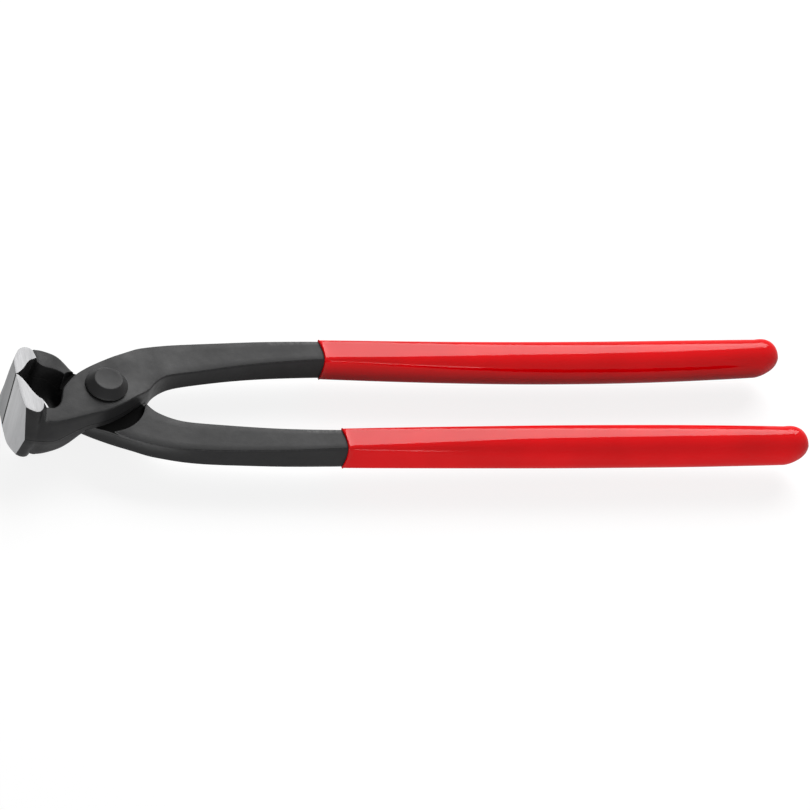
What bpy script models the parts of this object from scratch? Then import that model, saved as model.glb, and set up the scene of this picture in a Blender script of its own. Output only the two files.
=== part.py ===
"""End-cutting nippers with long handles: two forgings that cross at a rivet, each with a dipped grip.

Metres. The joint's axis is +Z, the handles run along +X and the jaws point along -X. The origin is
the middle of the rivet's lower face, on the joint's axis. Both forgings are one shape, made by
half_mesh as the upper half; the lower half is that shape turned over about X, with its small
offsets from the axis reversed.
"""
import math

import bmesh
import bpy
from mathutils import Vector

# Jaws
jaw_reach = 0.0311          # joint's axis to the front of the jaws
jaw_width = 0.0258          # length of the cutting edges, along the joint's axis
root_depth = 0.0155         # axis to the back of a jaw, at the end that its arm carries
tip_depth = 0.0129          # the same at the far end
cutting_land = 0.00035      # flat left on each cutting edge
cutting_gap = 0.0004        # between the closed edges
closing_line_y = 0.0012     # the edges meet this far to the side of the axis
throat_line_y = 0.0011      # and the throat's middle lies this far to its other side
jaw_edge_break = 0.00025

# Joint
lap_radius = 0.0150         # the lap's outlines are given in shares of this
recess_radius = 0.0144      # the recess in each half for the other lap plate
lap_thickness = 0.00825
joint_gap = 0.0003          # between the two lap plates, and round the rivet
crease_drop = 0.0020        # the back's crease lies this far below the joint's plane
slope_start_x = 0.0078      # from here the lap's face falls to the handle's thickness
slope_end_x = 0.0290
bore_steps = 48
recess_steps = 96

# Rivet
shank_radius = 0.0040
head_radius = 0.0071
head_face_radius = 0.0047
head_height = 0.0031
head_edge_break = 0.00025
rivet_steps = 48

# Handles
handle_reach = 0.2480       # axis to the ends of the grips
grip_start_x = 0.0790
handle_offset = 0.0195      # axis to the middle of a handle, at the grip's mouth
handle_width = 0.0082
handle_thickness = 0.0097
shank_thickness = 0.0069    # where the slope from the lap ends
handle_drop = 0.0016        # the handles' mid-plane lies this far below the joint's plane
grip_splay = 0.0005         # how much farther from the axis a grip's end is than its mouth
upper_bow = 0.0020          # how far the upper grip bows towards the lower one
lower_bow = 0.0001          # and the lower one towards it
edge_break = 0.0005
corner_limit_share = 0.3    # a corner is never cut back further than this share of a side

# Tangs, the handles' ends inside the grips
tang_width = 0.0074
tang_thickness = 0.0084
tang_end_gap = 0.0115       # tang's end to the grip's end
tang_steps = 7

# Grips
grip_size = 0.0139          # across, at the fullest place
grip_lip = 0.0006           # how far the mouth stands out from the steel
grip_gap = 0.0003           # round the tang and at the mouth
grip_corner_radius = 0.0061 # at the fullest place
mouth_corner_radius = 0.0013
bore_corner_radius = 0.0007
grip_tip_length = 0.0088    # the rounded end
tip_round_share = 0.93      # below one, the end is blunter than an ellipse
tip_sag = 0.00045           # the dip gathered this far to one side of the rounded end
grip_nub_length = 0.0004
grip_nub_radius = 0.0010
nub_end_share = 0.6
round_limit_share = 0.49    # a corner's radius never takes more of a side than this
grip_corner_steps = 5
grip_tip_steps = 7

# Which way a half's offsets run
upper_side = 1
lower_side = -1

# Edges that turn more than this are left sharp
half_smooth_angle = math.radians(28)
turned_smooth_angle = math.radians(30)
grip_smooth_angle = math.radians(40)

# Where the arm's underside leaves the jaw, as a place share like the jaw's, and where it meets the
# joint's plane, as a share of the lap's radius. It bulges: at the knee's share of the way from
# the foot to the heel, it already has the knee's share of the depth.
arm_heel_share = 0.473
arm_foot_share = 0.533
knee_place_share = 0.35
knee_depth_share = 0.57
heel_depth_share = 0.89

# A half is a skin over ribs. Each rib crosses it from its right edge to its left edge, as seen by
# someone who walks from the cutting edge, through the arm and the lap, to the end of the handle.
# A rib's corners are right, left, lower right and lower left.

# Jaw: place and share of the depth for the right edge, its crease, the left edge and the two lower
# edges, from the cutting edge to the arm. A place is 0 at the lap's radius and 1 at the front.
jaw_rib_shares = [
    ((1.000, 0.000), (1.000, 0.000), (0.979, 0.000), (1.000, 0.000), (0.979, 0.000)),
    ((1.000, 0.130), (1.000, 0.130), (0.888, 0.085), (1.000, 0.130), (0.888, 0.090)),
    ((1.000, 0.300), (1.000, 0.300), (0.800, 0.270), (1.000, 0.280), (0.822, 0.200)),
    ((0.998, 0.480), (0.996, 0.480), (0.733, 0.420), (0.993, 0.450), (0.762, 0.330)),
    ((0.984, 0.660), (0.972, 0.680), (0.672, 0.520), (0.972, 0.620), (0.690, 0.475)),
    ((0.945, 0.845), (0.815, 0.935), (0.622, 0.585), (0.845, 0.895), (0.640, 0.530)),
    ((0.870, 0.915), (0.770, 0.950), (0.590, 0.612), (0.790, 0.950), (0.598, 0.555)),
    ((0.755, 0.990), (0.700, 0.962), (0.568, 0.632), (0.715, 0.990), (0.552, 0.575)),
    ((0.650, 0.980), (0.630, 0.975), (0.553, 0.660), (0.615, 0.970), (0.518, 0.600)),
    ((0.585, 0.880), (0.590, 0.985), (0.546, 0.730), (0.552, 0.860), (0.508, 0.690)),
]

# Arm: the right, left, lower right and lower left edges, as places and shares of the root's depth,
# then the crease's height in shares of the lap's thickness.
arm_rib_shares = [
    ((0.500, 0.985), (0.415, 0.600), (0.521, 0.825), (0.484, 0.460), -0.24),
    ((0.366, 1.018), (0.375, 0.603), (0.355, 0.860), (0.372, 0.400), -0.24),
    ((0.193, 0.995), (0.290, 0.610), (0.187, 0.865), (0.260, 0.394), -0.24),
    ((-0.018, 0.943), (0.215, 0.588), (-0.026, 0.858), (0.137, 0.413), -0.24),
    ((-0.236, 0.873), (0.145, 0.525), (-0.242, 0.832), (0.030, 0.419), -0.12),
    ((-0.453, 0.805), (0.085, 0.430), (-0.453, 0.794), (-0.149, 0.440), 0.15),
]

# Lap and root of the handle: the four corners in shares of the lap's radius.
lap_rib_shares = [
    ((-0.273, -0.767), (-1.033, -0.260), (-0.273, -0.767), (-0.700, -0.420)),
    ((-0.033, -0.687), (-1.013, -0.100), (-0.033, -0.687), (-0.800, -0.200)),
    ((0.207, -0.573), (-0.853, 0.120), (0.207, -0.573), (-0.780, 0.080)),
    ((0.460, -0.420), (-0.600, 0.373), (0.460, -0.420), (-0.613, 0.460)),
    ((0.673, -0.260), (-0.260, 0.580), (0.673, -0.260), (-0.307, 0.793)),
    ((0.867, -0.050), (0.040, 0.730), (0.887, -0.050), (0.000, 0.887)),
    ((1.027, 0.130), (0.333, 0.867), (1.060, 0.171), (0.240, 1.073)),
    ((1.133, 0.249), (0.627, 0.993), (1.133, 0.283), (0.533, 1.227)),
    ((1.253, 0.360), (0.920, 1.180), (1.253, 0.407), (0.867, 1.347)),
    ((1.473, 0.547), (1.227, 1.300), (1.473, 0.547), (1.240, 1.427)),
]
thin_lap_ribs = 5           # the ribs that only the lap plate crosses
# How much of the throat's shift each rib of the lap, and then of the handle, takes on its right.
lap_throat_shares = (0.0, 0.0, 0.0, 0.0, 0.0, 1.0, 1.8, 1.3, 0.9, 0.6)
handle_throat_shares = (0.4, 0.2, 0.0, 0.0, 0.0, 0.0)

# Handle: the right and left edges' places between the lap's radius and the grip's mouth, then the right
# edge in shares of the handle's inner face, and the left and lower left edges in shares of its outer.
handle_rib_shares = [
    (0.178, 0.159, 0.646, 0.936, 0.952),
    (0.309, 0.302, 0.730, 0.994, 0.985),
    (0.486, 0.475, 0.838, 1.003, 1.003),
    (0.653, 0.653, 0.916, 1.016, 1.016),
    (0.820, 0.820, 0.964, 1.012, 1.012),
    (1.000, 1.000, 1.000, 1.000, 1.000),
]

# Grip: place along the sleeve before its rounded end, then how far the width, the height and the
# corners' radius have grown from the mouth's to the full ones.
grip_swell_shares = [
    (0.000, 0.00, 0.00, 0.00), (0.035, 0.08, 0.06, 0.06), (0.100, 0.21, 0.17, 0.16),
    (0.180, 0.38, 0.34, 0.32), (0.290, 0.60, 0.55, 0.53), (0.430, 0.83, 0.79, 0.76),
    (0.560, 0.94, 0.90, 0.88), (0.700, 0.97, 0.97, 0.96), (0.800, 0.93, 0.99, 0.99),
    (0.880, 0.85, 0.98, 1.00), (0.950, 0.76, 0.96, 1.00), (1.000, 0.68, 0.94, 1.00),
]


def lerp(start, end, share):
    return start + (end - start) * share


def clamp_share(value):
    return min(max(value, 0.0), 1.0)


def material(name, color, roughness, metallic):
    made = bpy.data.materials.new(name)
    made.use_nodes = True
    shader = made.node_tree.nodes["Principled BSDF"]
    shader.inputs["Base Color"].default_value = (*color, 1.0)
    shader.inputs["Roughness"].default_value = roughness
    shader.inputs["Metallic"].default_value = metallic
    made.diffuse_color = (*color, 1.0)
    return made


def add_object(name, mesh, finish, parent, turned_over):
    """Place a mesh on the joint's axis, turned over about X for the lower pieces."""
    placed = bpy.data.objects.new(name, mesh)
    bpy.context.scene.collection.objects.link(placed)
    mesh.materials.append(finish)
    placed.rotation_euler = (math.pi if turned_over else 0.0, 0.0, 0.0)
    placed.parent = parent
    return placed


def skin_mesh(name, loops, smooth_angle):
    """Skin a row of closed loops of equal length and cap both ends."""
    bm = bmesh.new()
    rows = [[bm.verts.new(point) for point in loop] for loop in loops]
    count = len(rows[0])
    for row, following in zip(rows, rows[1:]):
        for step in range(count):
            ahead = (step + 1) % count
            bm.faces.new((row[step], row[ahead], following[ahead], following[step]))
    bm.faces.new(rows[0])
    bm.faces.new(rows[-1])
    bmesh.ops.recalc_face_normals(bm, faces=bm.faces)
    return finish_mesh(name, bm, smooth_angle)


def turned_mesh(name, profile, steps, smooth_angle):
    """Turn a profile of (radius, height) points, which starts and ends on the axis, about Z."""
    bm = bmesh.new()
    points = [bm.verts.new((radius, 0.0, height)) for radius, height in profile]
    edges = [bm.edges.new(pair) for pair in zip(points, points[1:])]
    bmesh.ops.spin(bm, geom=points + edges, cent=(0, 0, 0), axis=(0, 0, 1), angle=math.tau,
                   steps=steps, use_merge=True)
    bmesh.ops.remove_doubles(bm, verts=bm.verts, dist=joint_gap * corner_limit_share)
    bmesh.ops.recalc_face_normals(bm, faces=bm.faces)
    return finish_mesh(name, bm, smooth_angle)


def finish_mesh(name, bm, smooth_angle):
    mesh = bpy.data.meshes.new(name)
    bm.to_mesh(mesh)
    bm.free()
    mesh.shade_smooth()
    mesh.set_sharp_from_angle(angle=smooth_angle)
    return mesh


def cut_corner(before, corner, after, size):
    """Two points that take the place of a corner, one on each side of it."""
    points = []
    for neighbour in (before, after):
        side = neighbour - corner
        points.append(corner + side.normalized() * min(size, side.length * corner_limit_share))
    return points


def rib_loop(right_side, left_side, size):
    """A closed loop from the two sides' points, each from top to bottom, with its corners cut."""
    around = right_side + left_side[::-1]
    loop = []
    for step, point in enumerate(around):
        if point in (right_side[1], left_side[1]):
            loop.append(point)
        else:
            loop += cut_corner(around[step - 1], point, around[(step + 1) % len(around)], size)
    return loop


def place_x(place_share):
    """A place on the jaw or the arm: 0 at the lap's radius, 1 at the front of the jaws."""
    return -lerp(lap_radius, jaw_reach, place_share)


def jaw_point(place_share, depth_share, depth, edge_y, height):
    """A point of the jaw, whose cutting edge lies at edge_y and whose back lies at -depth."""
    y = edge_y * (1.0 - depth_share) ** 2 - depth * depth_share
    return Vector((place_x(place_share), y, height))


def jaw_loops(closing_y):
    half_width = jaw_width / 2
    edge_y = closing_y - cutting_gap / 2
    land_share = 1.0 - cutting_land / (jaw_reach - lap_radius)
    loops = []
    for right, crease, left, low_right, low_left in jaw_rib_shares:
        left_share = min(left[0], land_share)
        low_left_share = min(low_left[0], land_share)
        right_side = [jaw_point(*right, root_depth, edge_y, half_width),
                      jaw_point(*crease, root_depth, edge_y, -crease_drop),
                      jaw_point(*low_right, tip_depth, edge_y, -half_width)]
        left_side = [jaw_point(left_share, left[1], root_depth, edge_y, half_width),
                     jaw_point(left_share, left[1], root_depth, edge_y, -crease_drop),
                     jaw_point(low_left_share, low_left[1], tip_depth, edge_y, -half_width)]
        loops.append(rib_loop(right_side, left_side, jaw_edge_break))
    return loops


def arm_underside(x):
    """Height of the arm's sloping underside, from the jaw's full width to the joint's plane."""
    heel = -place_x(arm_heel_share)
    foot = lap_radius * arm_foot_share
    place = clamp_share((-x - foot) / (heel - foot))
    if place < knee_place_share:
        depth_share = knee_depth_share * place / knee_place_share
    else:
        past_knee = (place - knee_place_share) / (1.0 - knee_place_share)
        depth_share = lerp(knee_depth_share, heel_depth_share, past_knee)
    return -jaw_width / 2 * depth_share


def arm_loops():
    loops = []
    for right, left, low_right, low_left, crease_share in arm_rib_shares:
        corners = [(place_x(place_share), -root_depth * depth_share)
                   for place_share, depth_share in (right, left, low_right, low_left)]
        crease = lap_thickness * crease_share
        sides = []
        for upper, lower in ((corners[0], corners[2]), (corners[1], corners[3])):
            bottom = arm_underside(lower[0])
            sides.append([Vector((*upper, lap_thickness)), Vector((*upper, max(crease, bottom / 2))),
                          Vector((*lower, bottom))])
        loops.append(rib_loop(*sides, edge_break))
    return loops


def handle_half_thickness(x):
    share = clamp_share((x - slope_end_x) / (grip_start_x - slope_end_x))
    return lerp(shank_thickness, handle_thickness, share) / 2


def upper_face(x, handle_z):
    """Height of the top face: the lap's, then a slope down to the handle's."""
    share = clamp_share((x - slope_start_x) / (slope_end_x - slope_start_x))
    return lerp(lap_thickness, handle_z + handle_half_thickness(x), share)


def rib_sides(right, left, low_right, low_left, bottom, handle_z):
    """Three points down each side of a rib of the lap or the handle."""
    sides = []
    for upper, lower in ((right, low_right), (left, low_left)):
        top_point = Vector((*upper, upper_face(upper[0], handle_z)))
        low_point = Vector((*lower, bottom))
        sides.append([top_point, top_point.lerp(low_point, 0.5), low_point])
    return sides


def lap_loops(handle_z, throat_y):
    loops = []
    for step, shares in enumerate(lap_rib_shares):
        corners = [[lap_radius * x, lap_radius * y] for x, y in shares]
        for right_corner in corners[::2]:
            right_corner[1] += throat_y * lap_throat_shares[step]
        bottom = 0.0 if step < thin_lap_ribs else handle_z - shank_thickness / 2
        loops.append(rib_loop(*rib_sides(*corners, bottom, handle_z), edge_break))
    return loops


def handle_loops(handle_z, throat_y):
    inner_y = handle_offset - handle_width / 2
    outer_y = handle_offset + handle_width / 2
    loops = []
    for rib_shares, throat_share in zip(handle_rib_shares, handle_throat_shares):
        right_place, left_place, inner_share, outer_share, low_share = rib_shares
        right_x = lerp(lap_radius, grip_start_x, right_place)
        left_x = lerp(lap_radius, grip_start_x, left_place)
        right = (right_x, inner_y * inner_share + throat_y * throat_share)
        bottom = handle_z - handle_half_thickness(right_x)
        sides = rib_sides(right, (left_x, outer_y * outer_share), right,
                          (left_x, outer_y * low_share), bottom, handle_z)
        loops.append(rib_loop(*sides, edge_break))
    return loops


def handle_middle(x, bow):
    """The grips and their tangs splay, and bow a little between the mouth and the end."""
    place = (x - grip_start_x) / (handle_reach - grip_start_x)
    return handle_offset + grip_splay * place - bow * math.sin(math.pi * place)


def tang_loops(handle_z, bow):
    loops = []
    for step in range(tang_steps):
        x = lerp(grip_start_x, handle_reach - tang_end_gap, step / (tang_steps - 1))
        middle = handle_middle(x, bow)
        sides = []
        for y in (middle - tang_width / 2, middle + tang_width / 2):
            sides.append([Vector((x, y, handle_z + tang_thickness / 2)), Vector((x, y, handle_z)),
                          Vector((x, y, handle_z - tang_thickness / 2))])
        loops.append(rib_loop(*sides, edge_break))
    return loops


def half_mesh(name, side, bow):
    """The skin of one forging, before its joint is cut: side is 1 for the upper half, -1 for the lower."""
    handle_z = -side * handle_drop
    throat_y = -side * throat_line_y
    loops = jaw_loops(side * closing_line_y) + arm_loops() + lap_loops(handle_z, throat_y)
    loops += handle_loops(handle_z, throat_y) + tang_loops(handle_z, bow)
    return skin_mesh(name, loops, half_smooth_angle)


def joint_cutter(name, parent, turned_over, steel):
    """Cuts the recess for the other lap plate, and the rivet's bore."""
    bore_radius = shank_radius + joint_gap / math.cos(math.pi / bore_steps)
    recess_floor = joint_gap / 2
    depth = jaw_width
    profile = [(0.0, -depth), (recess_radius, -depth), (recess_radius, recess_floor),
               (bore_radius, recess_floor), (bore_radius, depth), (0.0, depth)]
    cutter = add_object(name, turned_mesh(name, profile, recess_steps, turned_smooth_angle), steel,
                        parent, turned_over)
    cutter.hide_render = True
    cutter.display_type = "WIRE"
    return cutter


def cut_joint(half, cutter):
    cut = half.modifiers.new("joint", "BOOLEAN")
    cut.operation = "DIFFERENCE"
    cut.object = cutter


def rivet_mesh():
    seat = lap_thickness + joint_gap
    face = seat + head_height
    half_profile = [(shank_radius, seat), (head_radius - head_edge_break, seat),
                    (head_radius, seat + head_edge_break),
                    (head_face_radius + head_edge_break, face - head_edge_break),
                    (head_face_radius, face), (0.0, face)]
    lower = [(radius, -height) for radius, height in reversed(half_profile)]
    return turned_mesh("rivet", lower + half_profile, rivet_steps, turned_smooth_angle)


def grip_ring(x, middle_y, middle_z, width, height, radius):
    """A rectangle with round corners, square to the handle."""
    radius = min(radius, width * round_limit_share, height * round_limit_share)
    ring = []
    for corner, (side_y, side_z) in enumerate(((1, 1), (-1, 1), (-1, -1), (1, -1))):
        centre_y = middle_y + side_y * (width / 2 - radius)
        centre_z = middle_z + side_z * (height / 2 - radius)
        for step in range(grip_corner_steps):
            turn = math.pi / 2 * (corner + step / (grip_corner_steps - 1))
            ring.append(Vector((x, centre_y + radius * math.cos(turn), centre_z + radius * math.sin(turn))))
    return ring


def swollen_section(width_share, height_share, radius_share):
    """Width, height and corner radius of the grip where they have grown by these shares."""
    mouth_width = handle_width + 2 * grip_lip
    mouth_height = handle_thickness + 2 * grip_lip
    return (lerp(mouth_width, grip_size, width_share), lerp(mouth_height, grip_size, height_share),
            lerp(mouth_corner_radius, grip_corner_radius, radius_share))


def grip_mesh(name, side, bow):
    """A sleeve: rings along its outside to the rounded tip, and back along its bore."""
    handle_z = -side * handle_drop
    mouth_x = grip_start_x + grip_gap
    dome_x = handle_reach - grip_nub_length - grip_tip_length
    outside = []
    for place, *grown in grip_swell_shares:
        x = lerp(mouth_x, dome_x, place)
        outside.append(grip_ring(x, handle_middle(x, bow), handle_z, *swollen_section(*grown)))
    width, height, radius = swollen_section(*grip_swell_shares[-1][1:])
    last_turn = math.acos((2 * grip_nub_radius / width) ** (1 / tip_round_share))
    for step in range(1, grip_tip_steps + 1):
        turn = last_turn * step / grip_tip_steps
        x = dome_x + grip_tip_length * math.sin(turn) ** tip_round_share
        size = math.cos(turn) ** tip_round_share
        sag = side * tip_sag * math.sin(math.pi * step / grip_tip_steps)
        outside.append(grip_ring(x, handle_middle(x, bow) + sag, handle_z + sag, width * size,
                                 height * size, radius * size))
    nub_size = 2 * grip_nub_radius * nub_end_share
    outside.append(grip_ring(handle_reach, handle_middle(handle_reach, bow), handle_z, nub_size,
                             nub_size, grip_nub_radius))
    bore = []
    bore_end = handle_reach - tang_end_gap + grip_gap
    for step in range(tang_steps):
        x = lerp(mouth_x, bore_end, step / (tang_steps - 1))
        bore.append(grip_ring(x, handle_middle(x, bow), handle_z, tang_width + 2 * grip_gap,
                              tang_thickness + 2 * grip_gap, bore_corner_radius))
    return skin_mesh(name, bore[::-1] + outside, grip_smooth_angle)


for leftover in list(bpy.data.objects):
    bpy.data.objects.remove(leftover, do_unlink=True)

steel = material("forged_steel", (0.045, 0.046, 0.048), 0.42, 0.6)
rivet_steel = material("rivet_steel", (0.055, 0.056, 0.058), 0.40, 0.6)
dip = material("red_dip", (0.62, 0.004, 0.008), 0.12, 0.0)

joint_height = lap_thickness + joint_gap + head_height
fixed_axis = bpy.data.objects.new("fixed_axis", None)
opening_axis = bpy.data.objects.new("opening_axis", None)
for axis in (fixed_axis, opening_axis):
    bpy.context.scene.collection.objects.link(axis)
    axis.location = (0.0, 0.0, joint_height)

upper_skin = half_mesh("upper_half", upper_side, upper_bow)
upper_half = add_object("upper_half", upper_skin, steel, opening_axis, False)
lower_skin = half_mesh("lower_half", lower_side, lower_bow)
lower_half = add_object("lower_half", lower_skin, steel, fixed_axis, True)
cut_joint(upper_half, joint_cutter("upper_joint_cutter", opening_axis, False, steel))
cut_joint(lower_half, joint_cutter("lower_joint_cutter", fixed_axis, True, steel))
add_object("rivet", rivet_mesh(), rivet_steel, fixed_axis, False)
upper_sleeve = grip_mesh("upper_grip", upper_side, upper_bow)
add_object("upper_grip", upper_sleeve, dip, opening_axis, False)
lower_sleeve = grip_mesh("lower_grip", lower_side, lower_bow)
add_object("lower_grip", lower_sleeve, dip, fixed_axis, True)
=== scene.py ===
# %% [markdown]
# # Long-handled end-cutting nippers
# The object is a forged tool of five pieces: two forgings that cross at a rivet, the rivet, and a red
# dipped sleeve on each handle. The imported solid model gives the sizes, the joint and the rough shape.
# This lesson dresses it: each forging, the rivet and each sleeve is built again with smooth skins and
# rounded edges, and every surface gets a finish made from procedural nodes.

# %% Load the solid model
import math

import bmesh
import bpy
from mathutils import Matrix, Vector


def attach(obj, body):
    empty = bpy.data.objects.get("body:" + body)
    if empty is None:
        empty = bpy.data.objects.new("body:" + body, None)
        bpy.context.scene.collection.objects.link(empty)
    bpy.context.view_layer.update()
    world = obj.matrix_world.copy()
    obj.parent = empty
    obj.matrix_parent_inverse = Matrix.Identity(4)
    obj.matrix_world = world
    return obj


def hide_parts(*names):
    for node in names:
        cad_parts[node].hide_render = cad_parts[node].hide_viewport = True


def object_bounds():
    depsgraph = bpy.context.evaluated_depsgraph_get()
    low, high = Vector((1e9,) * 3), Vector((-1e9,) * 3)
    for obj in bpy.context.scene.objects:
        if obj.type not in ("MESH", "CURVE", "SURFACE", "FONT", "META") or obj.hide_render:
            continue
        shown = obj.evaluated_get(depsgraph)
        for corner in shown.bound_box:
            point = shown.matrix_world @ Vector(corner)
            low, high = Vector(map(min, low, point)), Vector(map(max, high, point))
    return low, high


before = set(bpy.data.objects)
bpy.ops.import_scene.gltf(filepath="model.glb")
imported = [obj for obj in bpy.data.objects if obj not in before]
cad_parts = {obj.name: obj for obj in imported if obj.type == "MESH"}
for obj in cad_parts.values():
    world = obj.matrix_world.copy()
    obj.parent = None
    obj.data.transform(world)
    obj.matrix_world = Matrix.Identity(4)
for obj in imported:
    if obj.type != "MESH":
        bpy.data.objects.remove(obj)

cad_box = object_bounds()
print("solid model", [round(high - low, 4) for low, high in zip(*cad_box)])

# %% [markdown]
# ## Helpers for objects
# Nearly every step shapes a mesh with bmesh and puts it in the scene, so two short helpers do that. One
# millimetre gets a name as well, because Blender counts in metres and a toolmaker doesn't.

# %% Put objects and meshes in the scene
mm = 0.001


def add_object(name, data):
    made = bpy.data.objects.new(name, data)
    bpy.context.scene.collection.objects.link(made)
    return made


def finished_mesh(bm, name):
    """A new mesh from a bmesh, which is then freed."""
    mesh = bpy.data.meshes.new(name)
    bm.to_mesh(mesh)
    bm.free()
    return mesh


# %% [markdown]
# ## The camera
# The photograph was taken with a long lens from the front left, a little over a metre and a half away
# and about 46 degrees above the floor. A lens this long keeps the two handles nearly parallel. The
# camera's axes are written as three columns of a matrix: right, up, and backwards along the view.

# %% Place the camera
camera_place = Vector((-387.96, -937.18, 1110.42)) * mm
camera_right = Vector((0.946278, -0.213373, 0.242963))
camera_up = Vector((0.004761, 0.760493, 0.649329))
camera_back = camera_right.cross(camera_up)
camera_data = bpy.data.cameras.new("camera")
camera_data.lens = 201.57
camera_data.sensor_width = 36.0
camera_data.clip_end = 20.0
camera = add_object("camera", camera_data)
camera.matrix_world = Matrix.Translation(camera_place) @ Matrix(
    (camera_right, camera_up, camera_back)).transposed().to_4x4()
bpy.context.scene.camera = camera
bpy.context.scene.view_settings.view_transform = "Standard"
print("camera looks down at", round(math.degrees(math.asin(camera_back.z)), 1), "degrees")

# %% [markdown]
# ## Helpers for shader nodes
# A material is a small graph. One helper adds a node, sets its inputs and links it in a single call, so
# that each recipe below reads from top to bottom. The sums, mixes and noises that come up again and
# again get short names.

# %% Add nodes, sums and mixes
def link(value, socket):
    socket.id_data.links.new(value, socket)


def add_node(tree, kind, inputs, **settings):
    made = tree.nodes.new(kind)
    for key, value in settings.items():
        setattr(made, key, value)
    for key, value in inputs.items():
        if isinstance(value, bpy.types.NodeSocket):
            link(value, made.inputs[key])
        else:
            made.inputs[key].default_value = value
    return made


def math_node(tree, operation, first, second=0.0, clamp=False):
    return add_node(tree, "ShaderNodeMath", {0: first, 1: second}, operation=operation,
                    use_clamp=clamp).outputs[0]


def plus(tree, first, second):
    return math_node(tree, "ADD", first, second)


def minus(tree, first, second):
    return math_node(tree, "SUBTRACT", first, second)


def times(tree, first, second, clamp=False):
    return math_node(tree, "MULTIPLY", first, second, clamp)


def mix_colors(tree, factor, first, second):
    return add_node(tree, "ShaderNodeMix", {0: factor, 6: first, 7: second},
                    data_type="RGBA").outputs[2]


def mix_values(tree, factor, first, second):
    return add_node(tree, "ShaderNodeMix", {0: factor, 2: first, 3: second},
                    data_type="FLOAT").outputs[0]


def remap(tree, value, low, high, new_low, new_high):
    return add_node(tree, "ShaderNodeMapRange",
                    {0: value, 1: low, 2: high, 3: new_low, 4: new_high}).outputs[0]


def noise(tree, place, scale, detail, roughness=0.5):
    return add_node(tree, "ShaderNodeTexNoise", {"Vector": place, "Scale": scale, "Detail": detail,
                                                 "Roughness": roughness}).outputs["Fac"]


def split_axes(tree, vector):
    return add_node(tree, "ShaderNodeSeparateXYZ", {0: vector}).outputs


# %% Make groups and materials
def new_group(name, inputs, outputs):
    """A node group with its inner sockets. An input without a number is a vector."""
    tree = bpy.data.node_groups.new(name, "ShaderNodeTree")
    for label, default in inputs.items():
        kind = "NodeSocketVector" if default is None else "NodeSocketFloat"
        socket = tree.interface.new_socket(label, in_out="INPUT", socket_type=kind)
        if default is not None:
            socket.default_value = default
    for label in outputs:
        tree.interface.new_socket(label, in_out="OUTPUT", socket_type="NodeSocketFloat")
    return tree, tree.nodes.new("NodeGroupInput").outputs, tree.nodes.new("NodeGroupOutput").inputs


def use_group(tree, group, inputs):
    return add_node(tree, "ShaderNodeGroup", inputs, node_tree=group).outputs


def new_material(name):
    made = bpy.data.materials.new(name)
    made.use_nodes = True
    return made, made.node_tree, made.node_tree.nodes["Principled BSDF"].inputs


# %% [markdown]
# ## The studio
# The tool was shot on white, lit from behind by one large softbox whose reflection lies in the flat top
# of each sleeve. A wide low light in front brightens the near sides, and everything else is soft fill.
# The floor is a plain pale sheet. Its white comes from a little emission that only the camera and
# mirror-like rays see, so the lamps can stay at a level where colours render as they are written, and
# the soft shadow under the tool stays.

# %% Lay the floor
floor_size = 3.0
floor_shift = 0.1
floor_color = (0.20, 0.20, 0.20, 1.0)
floor_glow = 0.85
sheet = bmesh.new()
bmesh.ops.create_grid(sheet, x_segments=8, y_segments=8, size=floor_size / 2)
bmesh.ops.translate(sheet, verts=sheet.verts, vec=(floor_shift, 0.0, cad_box[0][2]))
floor = add_object("floor", finished_mesh(sheet, "floor"))


def seen_directly(tree):
    """One for camera, mirror and see-through rays, nought for the rays that carry light."""
    path = tree.nodes.new("ShaderNodeLightPath")
    seen = math_node(tree, "MAXIMUM", path.outputs["Is Camera Ray"], path.outputs["Is Glossy Ray"])
    return math_node(tree, "MAXIMUM", seen, path.outputs["Is Transmission Ray"])


floor_material, tree, shader = new_material("pale_floor")
shader["Base Color"].default_value = floor_color
shader["Roughness"].default_value = 0.9
shader["Specular IOR Level"].default_value = 0.0
shader["Emission Color"].default_value = (1.0, 1.0, 1.0, 1.0)
link(times(tree, seen_directly(tree), floor_glow), shader["Emission Strength"])
floor.data.materials.append(floor_material)
print("floor at height", round(cad_box[0][2], 5))

# %% Fill light from the surroundings
fill_level = 0.10
world = bpy.data.worlds.new("studio")
bpy.context.scene.world = world
world.use_nodes = True
tree = world.node_tree
background = tree.nodes["Background"]
background.inputs["Color"].default_value = (1.0, 1.0, 1.0, 1.0)
link(mix_values(tree, seen_directly(tree), fill_level, 1.0), background.inputs["Strength"])

# %% [markdown]
# A flat, level mirror on the tool would show the camera what lies along the view direction with its
# height reversed. The softbox hangs a little below that direction, so that the rounded backs of the
# sleeves mirror it too. Its upper edge sets where the bright facet on each sleeve ends.

# %% Hang the softbox and the front light
object_middle = Vector((108.0, 0.0, 12.0)) * mm
softbox_rise = 0.561
front_direction = Vector((-0.30, -1.0, 0.14))


def add_softbox(name, towards, distance, width, height, radiance):
    data = bpy.data.lights.new(name, "AREA")
    data.shape = "RECTANGLE"
    data.size = width
    data.size_y = height
    data.energy = radiance * math.pi * width * height
    lamp = add_object(name, data)
    lamp.location = object_middle + towards.normalized() * distance
    lamp.rotation_euler = towards.to_track_quat("Z", "Y").to_euler()
    return lamp


back_direction = Vector((-camera_back.x, -camera_back.y, softbox_rise))
back_softbox = add_softbox("back_softbox", back_direction, distance=1.1, width=0.95, height=0.58,
                           radiance=10.0)
add_softbox("front_light", front_direction, distance=2.2, width=3.0, height=0.6, radiance=7.4)
print("softbox at", [round(value, 3) for value in back_softbox.location])

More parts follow.
